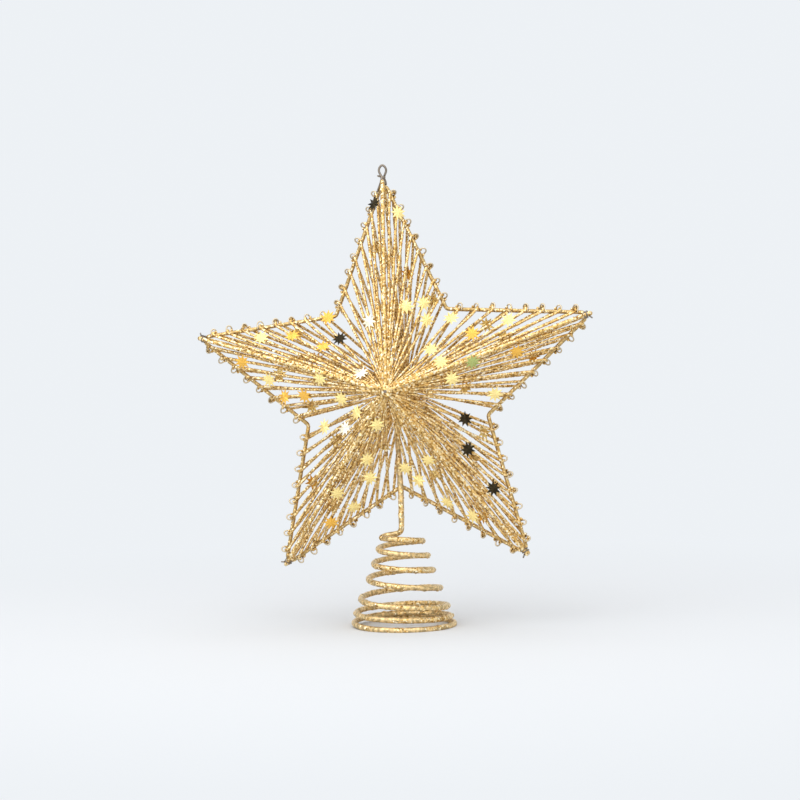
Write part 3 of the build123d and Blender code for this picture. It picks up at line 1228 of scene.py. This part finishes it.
@dataclass
class Stem:
    """Upright wire that carries the star, cranked at its foot into the coil, whose wire it goes on."""

    star: Star
    coil: Coil
    top_drop: float = 0.9 * MM
    reach: float = 51 * MM
    setback: float = 2.63 * MM
    hook: float = 6.9 * MM
    crank_rise: float = 2.4 * MM
    bends: tuple[float, ...] = (40 * MM, 3 * MM, 2.8 * MM)

    def build(self) -> None:
        """Build the stem."""
        coil = self.coil
        end = coil.point(coil.turns) + coil.heading * coil.thickness
        corner = end + coil.heading * self.hook
        foot = Vector((0, 0, end.z + self.crank_rise))
        top = self.star.to_frame @ Vector((0, -self.top_drop, self.setback))
        knee = self.star.to_frame @ Vector((0, -self.reach, self.setback))
        bm = bmesh.new()
        line = rounded([top, knee, foot, corner, end], list(self.bends))
        Wire(line, coil.thickness, coil.step, coil.sides, coil.coat).add_to(bm)
        Piece("stem_bent", slot="glitter_wire").publish(bm, ["stem"], [coil.finish])


@dataclass(frozen=True)
class Lamp:
    """Soft square lamp that looks at the star, with its side in metres and its power in watts."""

    name: str
    place: Offset
    size: float
    power: float
    aim: Offset = (0, 0, 0.11)

    def build(self) -> Item:
        """Hang the lamp.

        Returns:
            The lamp.
        """
        light = bpy.data.lights.new(self.name, "AREA")
        light.size = self.size
        light.energy = self.power
        lamp = bpy.data.objects.new(self.name, light)
        lamp.location = self.place
        lamp.visible_camera = False
        lamp.rotation_euler = (Vector(self.aim) - Vector(self.place)).to_track_quat("-Z", "Y").to_euler()
        bpy.context.scene.collection.objects.link(lamp)
        return lamp


LAMPS = (
    Lamp("key", (-0.8, -0.9, 0.9), 1.4, 5.5),
    Lamp("fill", (0.9, -0.7, 0.5), 0.8, 0.8),
    Lamp("top", (0.0, -0.35, 1.3), 2.0, 14.5),
    Lamp("front", (0.2, -2.0, 0.35), 1.8, 8.5),
)


@dataclass(frozen=True)
class Photographer:
    """Camera as the photographer held it."""

    lens: float = 90.4
    sensor: float = 36
    near: float = 0.01
    place: Offset = (0.1877, -0.9822, 0.1354)
    pitch: float = math.radians(88.7)
    turn: float = math.radians(10.8)
    roll: float = math.radians(-1.0)

    def build(self) -> Item:
        """Set up the camera.

        Returns:
            The camera.
        """
        data = bpy.data.cameras.new("camera")
        data.lens = self.lens
        data.sensor_width = self.sensor
        data.clip_start = self.near
        camera = bpy.data.objects.new("camera", data)
        camera.location = self.place
        level = Matrix.Rotation(self.turn, 3, "Z") @ Matrix.Rotation(self.pitch, 3, "X")
        camera.rotation_euler = (level @ Matrix.Rotation(self.roll, 3, "Z")).to_euler()
        bpy.context.scene.collection.objects.link(camera)
        bpy.context.scene.camera = camera
        return camera


@dataclass
class Studio:
    """Pale floor, soft light and the camera."""

    backdrop: Colour = (0.850, 0.882, 0.915)
    floor_colour: Colour = (0.650, 0.663, 0.680)
    floor_size: float = 30
    fade: Span = (0.08, 0.46)
    sky: Colour = (0.97, 0.985, 1.0)
    sky_span: Span = (-0.3, 0.9)
    sky_strength: Span = (0.50, 0.85)

    def shown(self, nodes: Nodes) -> Socket:
        """Tell the rays that see the backdrop: the camera's, and those off metal or through glass.

        Args:
            nodes: Node tree of the floor or the world.

        Returns:
            Socket that is 1 on such a ray.
        """
        path = nodes.add("LightPath")
        sees = path["Is Camera Ray"]
        for ray in ("Is Glossy Ray", "Is Transmission Ray"):
            sees = nodes.add("Math", {"Value": sees, "Value_001": path[ray]}, operation="MAXIMUM")["Value"]
        return sees

    def floor(self) -> Item:
        """Lay the floor, which fades into the backdrop's colour away from the object.

        Returns:
            The floor.
        """
        material = bpy.data.materials.new("studio_floor")
        nodes = Nodes(material)
        place = nodes.add("TexCoord")["Object"]
        reach = nodes.add("VectorMath", {"Vector": place}, operation="LENGTH")["Value"]
        faded = nodes.spread(reach, self.fade, interpolation_type="SMOOTHSTEP")
        seen = nodes.add("Math", {"Value": faded, "Value_001": self.shown(nodes)}, operation="MULTIPLY")
        matt = nodes.add("BsdfDiffuse", {"Color": (*self.floor_colour, 1.0)})["BSDF"]
        glow = nodes.add("Emission", {"Color": (*self.backdrop, 1.0)})["Emission"]
        nodes.add("OutputMaterial", {"Surface": nodes.mix(seen["Value"], matt, glow)})
        bm = bmesh.new()
        bmesh.ops.create_grid(bm, x_segments=1, y_segments=1, size=self.floor_size)
        mesh = bpy.data.meshes.new("studio_floor")
        bm.to_mesh(mesh)
        bm.free()
        mesh.materials.append(material)
        floor = bpy.data.objects.new("studio_floor", mesh)
        bpy.context.scene.collection.objects.link(floor)
        return floor

    def world(self) -> None:
        """Surround the object with soft light, brighter above, and the backdrop's colour to the camera."""
        world = bpy.data.worlds.new("studio_world")
        bpy.context.scene.world = world
        nodes = Nodes(world)
        height = nodes.add("SeparateXYZ", {"Vector": nodes.add("TexCoord")["Generated"]})["Z"]
        strength = nodes.spread(height, self.sky_span, self.sky_strength)
        sky = nodes.add("Background", {"Color": (*self.sky, 1.0), "Strength": strength})["Background"]
        seen = nodes.add("Background", {"Color": (*self.backdrop, 1.0)})["Background"]
        nodes.add("OutputWorld", {"Surface": nodes.mix(self.shown(nodes), sky, seen)})

    def build(self) -> None:
        """Build the floor, world, lights and camera."""
        floor = self.floor()
        self.world()
        key, fill, top, front = (lamp.build() for lamp in LAMPS)
        camera = Photographer().build()
        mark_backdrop(floor, key, fill, top, front, camera)
        bpy.context.scene.view_settings.view_transform = "Standard"


def main() -> None:
    """Build the star piece by piece, then the studio."""
    logging.basicConfig(level=logging.INFO, format="%(name)s: %(message)s")
    for stray in list(bpy.data.objects):
        bpy.data.objects.remove(stray)
    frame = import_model()
    star = Star(frame["nodes"])
    strand_coat = STRAND_GLITTER.material()
    chip = CHIP.material()
    shaded_frame_coat = FRAME_GLITTER_SHADED.material()
    bare = BARE_WIRE.material()
    foils = {tone: tone.material() for tone in Foil}
    coil = Coil(SPRING_PAINT.material())
    coil.build()
    Stem(star, coil).build()
    Frame(star, shaded_frame_coat).build()
    Picots(star, PICOT_WIRE.material(), shaded_frame_coat, bare).build()
    Eye(star, bare).build()
    for face in Face:
        Strands(star, face, strand_coat, chip).build()
        Ribs(star, face, strand_coat).build()
        Hub(star, face, strand_coat).build()
        Sequins(star, face, foils).build()
    spindle = frame["nodes"]["hub_spindle"]
    spindle.data.materials.clear()
    spindle.data.materials.append(bare)
    Studio().build()
    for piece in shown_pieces():
        LOG.info("%s: %d faces", piece.name, len(piece.data.polygons))


if __name__ == "__main__":
    main()
